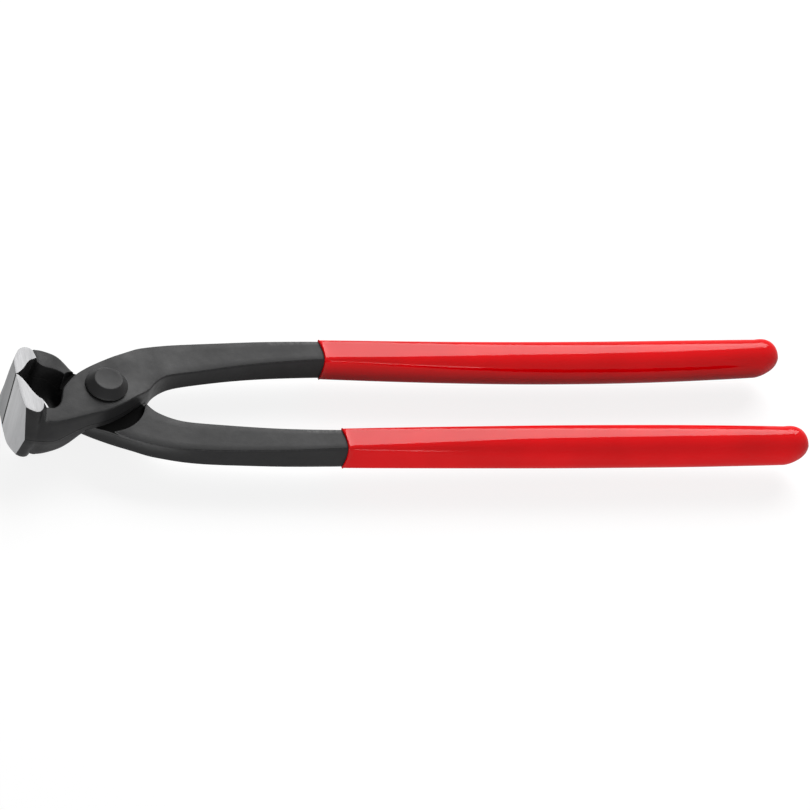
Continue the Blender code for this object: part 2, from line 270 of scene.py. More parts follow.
# %% [markdown]
# ## Sizes
# These are the solid model's own sizes, repeated in millimetres and turned into metres. The joint's
# plane is the height where the two lap plates meet, and every height of a half is measured from it. One
# share in the jaw's table differs from the solid's: the inner corner of the heel's low end stands a
# little further in, because the smoothed skin would fold there otherwise.

# %% Repeat the solid's sizes
jaw_reach = 31.1 * mm
jaw_width = 25.8 * mm
root_depth = 15.5 * mm
tip_depth = 12.9 * mm
cutting_land = 0.35 * mm
cutting_gap = 0.4 * mm
closing_line_y = 1.2 * mm
throat_line_y = 1.1 * mm
lap_radius = 15.0 * mm
recess_radius = 14.4 * mm
lap_thickness = 8.25 * mm
joint_gap = 0.3 * mm
crease_drop = 2.0 * mm
slope_start_x = 7.8 * mm
slope_end_x = 29.0 * mm
shank_radius = 4.0 * mm
head_radius = 7.1 * mm
head_face_radius = 4.7 * mm
head_height = 3.1 * mm
handle_reach = 248.0 * mm
grip_start_x = 79.0 * mm
handle_offset = 19.5 * mm
handle_width = 8.2 * mm
handle_thickness = 9.7 * mm
shank_thickness = 6.9 * mm
handle_drop = 1.6 * mm
grip_splay = 0.5 * mm
upper_bow = 2.0 * mm
lower_bow = 0.1 * mm
tang_width = 7.4 * mm
tang_thickness = 8.4 * mm
tang_end_gap = 11.5 * mm
joint_height = lap_thickness + joint_gap + head_height
print("joint's plane at", round(joint_height / mm, 2), "mm")

# %% [markdown]
# ## The ribs of a half
# A forging like this is a bar that changes its section all the way along: a broad jaw, a bent arm, a
# flat lap plate and a handle. A skin over ribs suits such a shape. Each rib is a loop of six corners,
# and each loop is extruded from the one before. Both halves are the same shape, one turned over, so one
# table serves both. Jaw places run from 0 at the lap's radius to 1 at the front, and depths from 0 at
# the cutting edge to 1 at the back.

# %% Tables of the jaw and the arm
# Right, right crease, left, low right, low left.
jaw_rib_shares = [
    ((1.000, 0.000), (1.000, 0.000), (0.979, 0.000), (1.000, 0.000), (0.979, 0.000)),
    ((1.000, 0.130), (1.000, 0.130), (0.888, 0.085), (1.000, 0.130), (0.888, 0.090)),
    ((1.000, 0.300), (1.000, 0.300), (0.800, 0.270), (1.000, 0.280), (0.822, 0.200)),
    ((0.998, 0.480), (0.996, 0.480), (0.733, 0.420), (0.993, 0.450), (0.762, 0.330)),
    ((0.984, 0.660), (0.972, 0.680), (0.672, 0.520), (0.972, 0.620), (0.690, 0.475)),
    ((0.945, 0.845), (0.815, 0.935), (0.622, 0.585), (0.845, 0.895), (0.640, 0.530)),
    ((0.870, 0.915), (0.770, 0.950), (0.590, 0.612), (0.790, 0.950), (0.598, 0.555)),
    ((0.755, 0.990), (0.700, 0.962), (0.568, 0.632), (0.715, 0.990), (0.552, 0.575)),
    ((0.650, 0.980), (0.630, 0.975), (0.553, 0.660), (0.615, 0.970), (0.518, 0.600)),
    ((0.585, 0.880), (0.590, 0.985), (0.546, 0.730), (0.552, 0.860), (0.508, 0.600)),
]
ground_edge_rib = 5
# The same corners without the crease's own place, then the crease's height in lap thicknesses.
arm_rib_shares = [
    ((0.500, 0.985), (0.415, 0.600), (0.521, 0.825), (0.484, 0.460), -0.24),
    ((0.366, 1.018), (0.375, 0.603), (0.355, 0.860), (0.372, 0.400), -0.24),
    ((0.193, 0.995), (0.290, 0.610), (0.187, 0.865), (0.260, 0.394), -0.24),
    ((-0.018, 0.943), (0.215, 0.588), (-0.026, 0.858), (0.137, 0.413), -0.24),
    ((-0.236, 0.873), (0.145, 0.525), (-0.242, 0.832), (0.030, 0.419), -0.12),
    ((-0.453, 0.805), (0.085, 0.430), (-0.453, 0.794), (-0.149, 0.440), 0.15),
]
arm_crease_shares = (1.0, 0.9, 0.75, 0.5, 0.2, 0.0)
arm_heel_share = 0.473
arm_foot_share = 0.533
knee_place_share = 0.35
knee_depth_share = 0.57
heel_depth_share = 0.89

# %% Tables of the lap and the handle
# The lap's four corners are in shares of its radius: right, left, low right, low left.
lap_rib_shares = [
    ((-0.273, -0.767), (-1.033, -0.260), (-0.273, -0.767), (-0.700, -0.420)),
    ((-0.033, -0.687), (-1.013, -0.100), (-0.033, -0.687), (-0.800, -0.200)),
    ((0.207, -0.573), (-0.853, 0.120), (0.207, -0.573), (-0.780, 0.080)),
    ((0.460, -0.420), (-0.600, 0.373), (0.460, -0.420), (-0.613, 0.460)),
    ((0.673, -0.260), (-0.260, 0.580), (0.673, -0.260), (-0.307, 0.793)),
    ((0.867, -0.050), (0.040, 0.730), (0.887, -0.050), (0.000, 0.887)),
    ((1.027, 0.130), (0.333, 0.867), (1.060, 0.171), (0.240, 1.073)),
    ((1.133, 0.249), (0.627, 0.993), (1.133, 0.283), (0.533, 1.227)),
    ((1.253, 0.360), (0.920, 1.180), (1.253, 0.407), (0.867, 1.347)),
    ((1.473, 0.547), (1.227, 1.300), (1.473, 0.547), (1.240, 1.427)),
]
thin_lap_ribs = 5
lap_throat_shares = (0.0, 0.0, 0.0, 0.0, 0.0, 1.0, 1.8, 1.3, 0.9, 0.6)
handle_throat_shares = (0.4, 0.2, 0.0, 0.0, 0.0, 0.0)
# The handle's right and left places, then its inner, outer and low outer edges in shares.
handle_rib_shares = [
    (0.178, 0.159, 0.646, 0.936, 0.952),
    (0.309, 0.302, 0.730, 0.994, 0.985),
    (0.486, 0.475, 0.838, 1.003, 1.003),
    (0.653, 0.653, 0.916, 1.016, 1.016),
    (0.820, 0.820, 0.964, 1.012, 1.012),
    (1.000, 1.000, 1.000, 1.000, 1.000),
]
covered_handle_end = 82.0 * mm
tang_places = (0.03, 0.2, 0.4, 0.6, 0.8, 1.0)

# %% [markdown]
# ## From the tables to ribs
# Each function returns ribs as six points, in the order right top, right crease, right low, left low,
# left middle and left top. The corners stay sharp here. They are rounded later with one bevel, which
# keeps the tables short.

# %% Points of the jaw and the arm
def lerp(start, end, share):
    return start + (end - start) * share


def clamp_share(value):
    return min(max(value, 0.0), 1.0)


def place_x(place_share):
    return -lerp(lap_radius, jaw_reach, place_share)


def jaw_point(shares, depth, height, edge_y):
    place_share, depth_share = shares
    y = edge_y * (1.0 - depth_share) ** 2 - depth * depth_share
    return Vector((place_x(place_share), y, height))


def jaw_ribs(closing_y):
    half_width = jaw_width / 2
    edge_y = closing_y - cutting_gap / 2
    ribs = []
    for right, crease, left, low_right, low_left in jaw_rib_shares:
        ribs.append([jaw_point(*corner, edge_y) for corner in (
            (right, root_depth, half_width), (crease, root_depth, -crease_drop),
            (low_right, tip_depth, -half_width), (low_left, tip_depth, -half_width),
            (left, root_depth, -crease_drop), (left, root_depth, half_width))])
    return ribs


def arm_underside(x):
    heel = -place_x(arm_heel_share)
    foot = lap_radius * arm_foot_share
    place = clamp_share((-x - foot) / (heel - foot))
    if place < knee_place_share:
        depth_share = knee_depth_share * place / knee_place_share
    else:
        past_knee = (place - knee_place_share) / (1.0 - knee_place_share)
        depth_share = lerp(knee_depth_share, heel_depth_share, past_knee)
    return -jaw_width / 2 * depth_share


def six_points(right, left, low_right, low_left, tops, middles, bottoms):
    """A rib from its corners in plan and the heights of its tops, middles and bottoms."""
    return [Vector((*right, tops[0])), Vector((*right, middles[0])), Vector((*low_right, bottoms[0])),
            Vector((*low_left, bottoms[1])), Vector((*left, middles[1])), Vector((*left, tops[1]))]


def arm_ribs():
    ribs = []
    for right, left, low_right, low_left, crease_share in arm_rib_shares:
        plan = [(place_x(place), -root_depth * depth) for place, depth in
                (right, left, low_right, low_left)]
        bottoms = [arm_underside(corner[0]) for corner in plan[2:]]
        crease = lap_thickness * crease_share
        middles = [max(crease, bottom / 2) for bottom in bottoms]
        ribs.append(six_points(*plan, (lap_thickness, lap_thickness), middles, bottoms))
    return ribs


# %% Points of the lap and the handle
def handle_half_thickness(x):
    share = clamp_share((x - slope_end_x) / (grip_start_x - slope_end_x))
    return lerp(shank_thickness, handle_thickness, share) / 2


def upper_face(x, handle_z):
    share = clamp_share((x - slope_start_x) / (slope_end_x - slope_start_x))
    return lerp(lap_thickness, handle_z + handle_half_thickness(x), share)


def section_ribs(plan, bottom, handle_z):
    tops = [upper_face(corner[0], handle_z) for corner in plan[:2]]
    middles = [(top + bottom) / 2 for top in tops]
    return six_points(*plan, tops, middles, (bottom, bottom))


def lap_ribs(handle_z, throat_y):
    ribs = []
    for step, shares in enumerate(lap_rib_shares):
        plan = [[lap_radius * x, lap_radius * y] for x, y in shares]
        for right_corner in plan[::2]:
            right_corner[1] += throat_y * lap_throat_shares[step]
        bottom = 0.0 if step < thin_lap_ribs else handle_z - shank_thickness / 2
        ribs.append(section_ribs(plan, bottom, handle_z))
    return ribs


def handle_ribs(handle_z, throat_y):
    inner_y = handle_offset - handle_width / 2
    outer_y = handle_offset + handle_width / 2
    ribs = []
    for shares, throat_share in zip(handle_rib_shares, handle_throat_shares):
        right_place, left_place, inner_share, outer_share, low_share = shares
        right_x = lerp(lap_radius, grip_start_x, right_place)
        left_x = lerp(lap_radius, grip_start_x, left_place)
        right = (right_x, inner_y * inner_share + throat_y * throat_share)
        plan = [right, (left_x, outer_y * outer_share), right, (left_x, outer_y * low_share)]
        ribs.append(section_ribs(plan, handle_z - handle_half_thickness(right_x), handle_z))
    return ribs


# %% Points of the tang inside the sleeve
def handle_middle(x, bow):
    place = (x - grip_start_x) / (handle_reach - grip_start_x)
    return handle_offset + grip_splay * place - bow * math.sin(math.pi * place)


def bar_rib(x, middle_y, middle_z, width, thickness):
    left_y, right_y = middle_y + width / 2, middle_y - width / 2
    top, bottom = middle_z + thickness / 2, middle_z - thickness / 2
    return six_points((x, right_y), (x, left_y), (x, right_y), (x, left_y), (top, top),
                      (middle_z, middle_z), (bottom, bottom))


def tang_ribs(handle_z, bow):
    ribs = [bar_rib(covered_handle_end, handle_middle(covered_handle_end, bow), handle_z,
                    handle_width, handle_thickness)]
    for place in tang_places:
        x = lerp(grip_start_x, handle_reach - tang_end_gap, place)
        ribs.append(bar_rib(x, handle_middle(x, bow), handle_z, tang_width, tang_thickness))
    return ribs


# %% [markdown]
# ## Growing the skin
# The first rib becomes a face. Its edge loop is extruded once for every further rib and moved onto it,
# which gives a cage of wide quads. The corner lines along the cage are creased, so that the Subdivision
# Surface modifier bends them into smooth curves and still keeps them as edges. Faces of the jaw that a
# grinding wheel has cut get the second material slot while the cage still has few faces.

# %% Extrude ribs into a cage
def grow_skin(bm, ribs):
    """Extrude a loop from rib to rib. Returns the rows of vertices."""
    row = [bm.verts.new(point) for point in ribs[0]]
    edges = [bm.edges.new(pair) for pair in zip(row, row[1:] + row[:1])]
    bmesh.ops.contextual_create(bm, geom=edges)
    rows = [row]
    for rib in ribs[1:]:
        grown = bmesh.ops.extrude_edge_only(bm, edges=edges)["geom"]
        fresh = {part for part in grown if isinstance(part, bmesh.types.BMVert)}
        edges = [part for part in grown if isinstance(part, bmesh.types.BMEdge)
                 and part.verts[0] in fresh and part.verts[1] in fresh]
        row = [next(edge.other_vert(vert) for edge in vert.link_edges
                    if edge.other_vert(vert) in fresh) for vert in row]
        for vert, point in zip(row, rib):
            vert.co = point
        rows.append(row)
    bmesh.ops.contextual_create(bm, geom=edges)
    bmesh.ops.recalc_face_normals(bm, faces=bm.faces)
    return rows


def crease_between(bm, layer, first, second, weight=1.0):
    bm.edges.get((first, second))[layer] = weight


# %% Crease the cage and mark the ground faces
# Columns of a rib. Number 4, the middle of its left side, takes no crease.
right_top, right_crease, right_low, left_low, left_top = 0, 1, 2, 3, 5


def crease_half(bm, rows):
    layer = bm.edges.layers.float.new("crease_edge")
    jaw_count = len(jaw_rib_shares)
    for step, (row, following) in enumerate(zip(rows, rows[1:])):
        for column in (right_top, right_low, left_low, left_top):
            crease_between(bm, layer, row[column], following[column])
        arm_step = step + 1 - jaw_count
        if arm_step < 0:
            weight = 1.0 if step >= ground_edge_rib else 0.0
        else:
            weight = arm_crease_shares[arm_step] if arm_step < len(arm_crease_shares) else 0.0
        crease_between(bm, layer, row[right_crease], following[right_crease], weight)
    for row in (rows[0], rows[-1]):
        for column in range(6):
            crease_between(bm, layer, row[column], row[(column + 1) % 6])
    ground_row, heel_row, arm_row = rows[ground_edge_rib], rows[jaw_count - 1], rows[jaw_count]
    crease_between(bm, layer, ground_row[right_top], ground_row[right_crease])
    crease_between(bm, layer, ground_row[right_crease], ground_row[right_low])
    for row in (heel_row, arm_row):
        crease_between(bm, layer, row[right_top], row[left_top])
    crease_between(bm, layer, heel_row[right_low], heel_row[left_low])


def mark_ground(*corners):
    """Slot 1 for the face between these corners."""
    for face in corners[0].link_faces:
        if set(face.verts) == set(corners):
            face.material_index = 1


def mark_ground_faces(rows):
    """The front, the two ends and the land of the jaw."""
    mark_ground(*rows[0])
    jaw_rows = rows[:len(jaw_rib_shares)]
    for step, (row, following) in enumerate(zip(jaw_rows, jaw_rows[1:])):
        columns = [(left_top, right_top), (right_low, left_low)]
        if step < ground_edge_rib:
            columns += [(right_top, right_crease), (right_crease, right_low)]
        for first, second in columns:
            mark_ground(row[first], row[second], following[first], following[second])


# %% [markdown]
# ## Cutting the joint
# Where the halves cross, each forging is milled down to the joint's plane over a round recess, and
# drilled for the rivet. A profile turned with the spin operator gives one cutter for both cuts, and a
# Boolean modifier takes it away from the half.

# %% Turn a profile
axis_weld = 0.01 * mm
recess_steps = 128


def turned_mesh(name, profile, steps):
    bm = bmesh.new()
    points = [bm.verts.new((radius, 0.0, height)) for radius, height in profile]
    edges = [bm.edges.new(pair) for pair in zip(points, points[1:])]
    bmesh.ops.spin(bm, geom=points + edges, cent=(0, 0, 0), axis=(0, 0, 1), angle=math.tau,
                   steps=steps, use_merge=True)
    bmesh.ops.remove_doubles(bm, verts=bm.verts, dist=axis_weld)
    bmesh.ops.recalc_face_normals(bm, faces=bm.faces)
    return finished_mesh(bm, name)


def joint_cutter():
    bore = shank_radius + joint_gap
    floor_z = joint_gap / 2
    reach = jaw_width
    profile = [(0.0, -reach), (recess_radius, -reach), (recess_radius, floor_z), (bore, floor_z),
               (bore, reach), (0.0, reach)]
    return add_object("joint_cutter", turned_mesh("joint_cutter", profile, recess_steps))


# %% [markdown]
# ## Finishing a half
# The order matters: first the cage is smoothed, then its edges are rounded, then the joint is cut. The
# bevel's width comes from a weight on each edge. Forged edges are rounded by the die to about half a
# millimetre, ground ones are left crisp, and the cutting land isn't rounded at all. Nor is the tight
# corner behind the heel, where a bevel would run into itself, and the arm's foot gets a narrow one for
# the same reason. The cut leaves hairline seams, which a weld closes. The result is a plain mesh. The
# lower half is turned over, and each piece rides on its body.

# %% Weights for the bevel, and a weld
forged_edge = 0.42 * mm
ground_edge_share = 0.30
heel_wall_x = -20.5 * mm
tight_corner_x = -23.6 * mm
tight_corner_reach = 1.2 * mm
foot_corner = Vector((-13.0, -5.5, 0.3)) * mm
foot_reach = 2.5 * mm
sharp_turn = math.radians(24)
shading_turn = math.radians(34)
seam_weld = 0.015 * mm
sliver_weld = 0.006 * mm


def baked(piece):
    """The piece's mesh with its modifiers applied."""
    graph = bpy.context.evaluated_depsgraph_get()
    graph.update()
    return bpy.data.meshes.new_from_object(piece.evaluated_get(graph))


def weld(mesh):
    """Close the hairline seams that a cut leaves."""
    bm = bmesh.new()
    bm.from_mesh(mesh)
    bmesh.ops.remove_doubles(bm, verts=bm.verts, dist=seam_weld)
    bmesh.ops.dissolve_degenerate(bm, edges=bm.edges, dist=sliver_weld)
    bm.to_mesh(mesh)
    bm.free()


def weigh_edges(mesh):
    """Write a bevel weight on each sharp edge, smaller on the ground jaw."""
    bm = bmesh.new()
    bm.from_mesh(mesh)
    layers = bm.edges.layers.float
    layer = layers.get("bevel_weight_edge") or layers.new("bevel_weight_edge")
    land_x = -jaw_reach + 3 * cutting_land
    for edge in bm.edges:
        if len(edge.link_faces) != 2 or edge.calc_face_angle() < sharp_turn:
            continue
        middle = (edge.verts[0].co + edge.verts[1].co) / 2
        near_land = middle.x < land_x and abs(middle.y) < closing_line_y + 2 * cutting_gap
        ground = any(face.material_index for face in edge.link_faces)
        if near_land or abs(middle.x - tight_corner_x) < tight_corner_reach:
            edge[layer] = 0.0
        elif ground or middle.x < heel_wall_x or (middle - foot_corner).length < foot_reach:
            edge[layer] = ground_edge_share
        else:
            edge[layer] = 1.0
    bm.to_mesh(mesh)
    bm.free()


# %% Build a half
def build_half(name, side, bow):
    handle_z, throat_y = -side * handle_drop, -side * throat_line_y
    ribs = jaw_ribs(side * closing_line_y) + arm_ribs() + lap_ribs(handle_z, throat_y)
    ribs += handle_ribs(handle_z, throat_y) + tang_ribs(handle_z, bow)
    bm = bmesh.new()
    rows = grow_skin(bm, ribs)
    crease_half(bm, rows)
    mark_ground_faces(rows)
    piece = add_object(name, finished_mesh(bm, name))
    for label in ("forged_face", "ground_face"):
        piece.data.materials.append(bpy.data.materials.get(label) or bpy.data.materials.new(label))
    smooth = piece.modifiers.new("smooth", "SUBSURF")
    smooth.levels = smooth.render_levels = 2
    piece.data = baked(piece)
    piece.modifiers.clear()
    weigh_edges(piece.data)
    rounding = piece.modifiers.new("rounding", "BEVEL")
    rounding.limit_method = "WEIGHT"
    rounding.width = forged_edge
    rounding.segments = 3
    rounding.use_clamp_overlap = False
    cutter = joint_cutter()
    cut = piece.modifiers.new("joint", "BOOLEAN")
    cut.operation = "DIFFERENCE"
    cut.object = cutter
    cut.use_self = True
    piece.data = baked(piece)
    piece.modifiers.clear()
    bpy.data.objects.remove(cutter)
    weld(piece.data)
    piece.data.name = name
    return piece


# %% Place both halves
def place_on_axis(mesh, turned_over):
    """From the joint's plane to its height in the frame, turned over about X for the lower half."""
    turn = Matrix.Rotation(math.pi if turned_over else 0.0, 4, "X")
    mesh.transform(Matrix.Translation((0.0, 0.0, joint_height)) @ turn)
    mesh.shade_smooth()
    mesh.set_sharp_from_angle(angle=shading_turn)


upper_forging = build_half("upper_forging", 1, upper_bow)
place_on_axis(upper_forging.data, False)
lower_forging = build_half("lower_forging", -1, lower_bow)
place_on_axis(lower_forging.data, True)
for forging, node, body in ((upper_forging, "upper_half", "moving"),
                            (lower_forging, "lower_half", "fixed")):
    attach(forging, body)
    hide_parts(node)
    print(forging.name, len(forging.data.polygons), "faces")

# %% [markdown]
# ## The rivet
# The rivet holds the laps together. Its head is a low cone with a flat face, turned on a lathe, so a
# profile and one spin make it. The small steps in the profile round the rim of the face and the foot of
# the cone, and a shallow dish in the face catches the light as the real one does.

# %% Spin the rivet
rim_radius = 0.28 * mm
foot_radius = 0.25 * mm
rim_steps = 4
rivet_steps = 96
dish = 0.06 * mm


def rounded_corner(corner, before, after, radius):
    """Points that round one corner of a profile."""
    corner, before, after = Vector(corner), Vector(before), Vector(after)
    start = corner + (before - corner).normalized() * radius
    end = corner + (after - corner).normalized() * radius
    points = []
    for step in range(rim_steps + 1):
        share = step / rim_steps
        points.append(tuple(start.lerp(corner, share).lerp(corner.lerp(end, share), share)))
    return points


seat = lap_thickness + joint_gap
face_z = seat + head_height
foot_corners = [(shank_radius, seat), (head_radius, seat), (head_radius, seat + 2 * foot_radius),
                (head_face_radius, face_z), (0.0, face_z)]
head_profile = [foot_corners[0]]
head_profile += rounded_corner(foot_corners[1], foot_corners[0], foot_corners[2], foot_radius)
head_profile += rounded_corner(foot_corners[2], foot_corners[1], foot_corners[3], foot_radius)[1:]
head_profile += rounded_corner(foot_corners[3], foot_corners[2], foot_corners[4], rim_radius)
head_profile += [(head_face_radius - 3 * rim_radius, face_z - dish), (0.0, face_z - dish)]
far_profile = [(radius, -height) for radius, height in reversed(head_profile)]
rivet = add_object("joint_rivet", turned_mesh("joint_rivet", far_profile + head_profile, rivet_steps))
place_on_axis(rivet.data, False)
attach(rivet, "fixed")
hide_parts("rivet")
print("rivet", len(rivet.data.polygons), "faces")

# %% [markdown]
# ## The dipped sleeves
# The handles are dipped in liquid plastic. The sleeve is thin at its mouth, swells to a full hand grip,
# and ends in a blunt dome with the small nub where the last drop hung. It is one skin of rings: along
# the tang's bore, round the lip and down the outside to the nub. Near the mouth the rings lean and
# bulge, because the line where a dip ends is never quite square.

# %% Tables of the sleeve
grip_size = 13.9 * mm
grip_lip = 0.6 * mm
grip_gap = 0.3 * mm
grip_corner_radius = 6.1 * mm
mouth_corner_radius = 1.3 * mm
bore_corner_radius = 0.7 * mm
grip_tip_length = 8.8 * mm
tip_round_share = 0.93
tip_sag = 0.45 * mm
grip_nub_length = 0.4 * mm
grip_nub_radius = 1.0 * mm
nub_shares = ((0.45, 0.92), (0.85, 0.68), (1.0, 0.35))
roundest_share = 0.49
corner_steps = 9
flat_steps = 4
# Place along the sleeve, then how far its width, height and corners have grown to their full sizes.
grip_swell_shares = [
    (0.000, 0.00, 0.00, 0.00), (0.035, 0.08, 0.06, 0.06), (0.100, 0.21, 0.17, 0.16),
    (0.180, 0.38, 0.34, 0.32), (0.290, 0.60, 0.55, 0.53), (0.430, 0.83, 0.79, 0.76),
    (0.560, 0.94, 0.90, 0.88), (0.700, 0.97, 0.97, 0.96), (0.800, 0.93, 0.99, 0.99),
    (0.880, 0.85, 0.98, 1.00), (0.950, 0.76, 0.96, 1.00), (1.000, 0.68, 0.94, 1.00),
]
mouth_lean = 0.35 * mm
mouth_bulge = 0.5 * mm
mouth_shift = -0.15 * mm
mouth_fade = 6.0 * mm


# %% One ring of the sleeve
def ring_points(x, middle_y, middle_z, width, height, radius):
    """A rectangle with round corners, square to the handle."""
    radius = min(radius, width * roundest_share, height * roundest_share)
    points = []
    for corner, (side_y, side_z) in enumerate(((1, 1), (-1, 1), (-1, -1), (1, -1))):
        centre_y = middle_y + side_y * (width / 2 - radius)
        centre_z = middle_z + side_z * (height / 2 - radius)
        for step in range(corner_steps):
            turn = math.pi / 2 * (corner + step / (corner_steps - 1))
            points.append(Vector((x, centre_y + radius * math.cos(turn),
                                  centre_z + radius * math.sin(turn))))
    closed = []
    for corner in range(4):
        arc = points[corner * corner_steps:(corner + 1) * corner_steps]
        ahead = points[(corner + 1) * corner_steps % len(points)]
        closed += arc + [arc[-1].lerp(ahead, step / flat_steps) for step in range(1, flat_steps)]
    return closed


# %% Swell the sleeve and lean its mouth
def smooth_table(table, place, column):
    """Read a column of a table, whose first column is the place, along a smooth curve."""
    last = len(table) - 1
    step = max(index for index in range(last) if table[index][0] <= place or index == 0)
    before, start = table[max(step - 1, 0)], table[step]
    end, after = table[step + 1], table[min(step + 2, last)]
    span = end[0] - start[0]
    share = (place - start[0]) / span
    slope_in = (end[column] - before[column]) / (end[0] - before[0]) * span
    slope_out = (after[column] - start[column]) / (after[0] - start[0]) * span
    cube, square = share ** 3, share ** 2
    return ((2 * cube - 3 * square + 1) * start[column] + (cube - 2 * square + share) * slope_in
            + (3 * square - 2 * cube) * end[column] + (cube - square) * slope_out)


def swollen(place):
    """Width, height and corner radius of the sleeve at a place along it."""
    width_share, height_share, radius_share = (
        smooth_table(grip_swell_shares, place, column) for column in (1, 2, 3))
    mouth_width = handle_width + 2 * grip_lip
    mouth_height = handle_thickness + 2 * grip_lip
    return (lerp(mouth_width, grip_size, width_share), lerp(mouth_height, grip_size, height_share),
            lerp(mouth_corner_radius, grip_corner_radius, radius_share))


def lean_mouth(points, middle_y, middle_z, width, height, side, strength):
    """Shift a ring's points along X, as the edge of the dip wanders."""
    for point in points:
        across = math.copysign(clamp_share(abs(point.y - middle_y) / (width / 2)), point.y - middle_y)
        upright = clamp_share(abs(point.z - middle_z) / (height / 2))
        bulge = mouth_bulge * (1 - (across * upright) ** 2)
        point.x += strength * (mouth_shift - side * mouth_lean * across + bulge)
    return points


# %% Rings from the bore to the nub
mouth_fit = 0.26 * mm
tang_step_x = covered_handle_end + 1.0 * mm
bore_start_x = covered_handle_end + 1.5 * mm
lip_depth = 0.22 * mm
lip_hold_share = 0.0012
body_rings = 72
tip_rings = 14
lip_rings = 5
bore_rings = 8


def sleeve_rings(side, bow):
    """From the bore's far end to the mouth, round the lip, and along the outside to the nub."""
    handle_z = -side * handle_drop
    mouth_x = grip_start_x + grip_gap
    dome_x = handle_reach - grip_nub_length - grip_tip_length
    bore_end = handle_reach - tang_end_gap + grip_gap
    rings = []

    def add_ring(x, width, height, radius, lean=0.0, sag=0.0):
        middle = handle_middle(x, bow)
        ring = ring_points(x, middle + sag, handle_z + sag, width, height, radius)
        rings.append(lean_mouth(ring, middle, handle_z, width, height, side, lean))

    for step in range(bore_rings, -1, -1):
        add_ring(lerp(bore_start_x, bore_end, step / bore_rings), tang_width + 2 * grip_gap,
                 tang_thickness + 2 * grip_gap, bore_corner_radius)
    inner_width, inner_height = handle_width + mouth_fit, handle_thickness + mouth_fit
    for x, lean in ((tang_step_x, 0.0), (covered_handle_end, 0.0), (mouth_x + lip_depth, 1.0)):
        add_ring(x, inner_width, inner_height, bore_corner_radius, lean)
    for step in range(lip_rings):
        share = step / (lip_rings - 1)
        turn = math.pi / 2 * share
        grown = 2 * grip_lip * math.sin(turn)
        add_ring(mouth_x + lip_depth * (1 - math.cos(turn)), inner_width + grown, inner_height + grown,
                 lerp(bore_corner_radius, mouth_corner_radius, share), 1.0)
    for place in (lip_hold_share, *[step / body_rings for step in range(1, body_rings + 1)]):
        x = lerp(mouth_x + lip_depth, dome_x, place)
        add_ring(x, *swollen(place), clamp_share(1 - (x - mouth_x) / mouth_fade))
    width, height, radius = swollen(1.0)
    last_turn = math.acos((2 * grip_nub_radius / width) ** (1 / tip_round_share))
    for step in range(1, tip_rings + 1):
        turn = last_turn * step / tip_rings
        size = math.cos(turn) ** tip_round_share
        sag = side * tip_sag * math.sin(math.pi * step / tip_rings)
        add_ring(dome_x + grip_tip_length * math.sin(turn) ** tip_round_share, width * size,
                 height * size, radius * size, sag=sag)
    for place, size in nub_shares:
        nub = 2 * grip_nub_radius * size
        add_ring(lerp(dome_x + grip_tip_length, handle_reach, place), nub, nub, nub / 2)
    return rings


# %% Grow and place the sleeves
sleeve_shading_turn = math.radians(50)


def build_sleeve(name, side, bow):
    bm = bmesh.new()
    grow_skin(bm, sleeve_rings(side, bow))
    piece = add_object(name, finished_mesh(bm, name))
    place_on_axis(piece.data, side < 0)
    piece.data.set_sharp_from_angle(angle=sleeve_shading_turn)
    return piece


upper_sleeve = build_sleeve("upper_sleeve", 1, upper_bow)
lower_sleeve = build_sleeve("lower_sleeve", -1, lower_bow)
for sleeve, node, body in ((upper_sleeve, "upper_grip", "moving"),
                           (lower_sleeve, "lower_grip", "fixed")):
    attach(sleeve, body)
    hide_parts(node)
    print(sleeve.name, len(sleeve.data.polygons), "faces")

# %% [markdown]
# ## Shared effects
# Some effects serve more than one finish, so each is a node group with named sockets. The forged skin
# is the fine pitting and mottling that scale and blackening leave on hot-forged steel. The edge group
# picks out convex edges, where handling polishes the black layer away, and lays a painted highlight on
# them too; noise breaks them up so that they don't look drawn. The grinding marks are fine streaks. A
# material stretches the place that it hands to the group, and the stretch gives the streaks their
# direction.

# %% Group for the forged skin
forged_skin, given, result = new_group("forged_skin", {"Vector": None, "Pit Scale": 1800.0},
                                       ("Shade", "Height"))
tree = forged_skin
pits = noise(tree, given["Vector"], scale=given["Pit Scale"], detail=4.0, roughness=0.6)
lumps = noise(tree, given["Vector"], scale=420.0, detail=3.0, roughness=0.55)
patches = noise(tree, given["Vector"], scale=70.0, detail=3.0)
link(mix_values(tree, 0.45, pits, lumps), result["Height"])
mottling = mix_values(tree, 0.6, lumps, patches)
link(remap(tree, mottling, 0.35, 0.65, 0.0, 1.0), result["Shade"])

# %% Group for worn edges with a painted highlight
edge_wear_and_highlight, given, result = new_group("edge_wear_and_highlight", {"Vector": None, "Amount": 1.0}, ("Mask",))
tree = edge_wear_and_highlight
shape = tree.nodes.new("ShaderNodeNewGeometry")
edge = remap(tree, shape.outputs["Pointiness"], 0.52, 0.60, 0.0, 1.0)
breakup = noise(tree, given["Vector"], scale=900.0, detail=3.0)
mask = times(tree, edge, remap(tree, breakup, 0.35, 0.60, 0.15, 1.0))
link(times(tree, mask, given["Amount"], clamp=True), result["Mask"])

# %% Group for grinding marks
grinding_marks, given, result = new_group("grinding_marks", {"Vector": None}, ("Shade", "Height"))
tree = grinding_marks
streaks = noise(tree, given["Vector"], scale=1.0, detail=3.0, roughness=0.6)
clouds = noise(tree, given["Vector"], scale=0.09, detail=2.0)
link(streaks, result["Height"])
both = mix_values(tree, 0.5, streaks, clouds)
link(remap(tree, both, 0.3, 0.7, 0.0, 1.0), result["Shade"])
